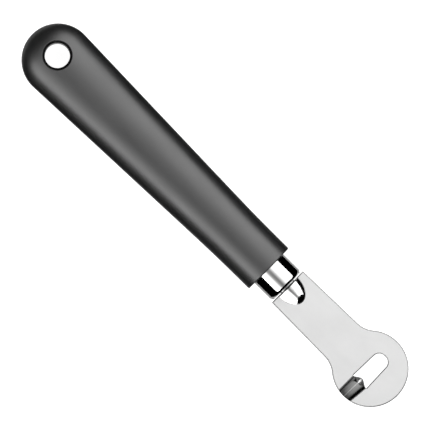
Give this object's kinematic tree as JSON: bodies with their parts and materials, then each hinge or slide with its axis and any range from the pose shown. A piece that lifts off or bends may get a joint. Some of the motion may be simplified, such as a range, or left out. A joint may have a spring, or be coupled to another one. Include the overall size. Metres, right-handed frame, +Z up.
{
  "type": "channel knife",
  "caption": "Channel knife for citrus peel: oval handle with a hanging hole, polished collar, and a flat blade whose round head has a slot and a raked V-shaped cutting gouge.",
  "frame": {"origin": "below the middle of the tool, on the surface that the handle lies on", "axes": "+X runs along the tool from the handle's round end to the tip of the blade's head; +Z points up out of the face of the blade that the pocket rises from, and the gouge sinks below that face; +Y completes the frame, so the gouge opens at the head's -Y edge"},
  "size_m": [0.165, 0.0246, 0.015],
  "materials": {
    "handle_polymer": "black moulded polypropylene, satin with a fine matte grain",
    "polished_steel": "mirror-polished stainless steel",
    "shank_steel": "drawn stainless steel, forged and ground flatter at the nose",
    "blade_steel": "satin stainless sheet, polished over the pocket and inside the gouge"
  },
  "bodies": {
    "root": {"handle": "handle_polymer", "ferrule": "polished_steel", "shank": "shank_steel", "blade": "blade_steel"}
  },
  "joints": []
}
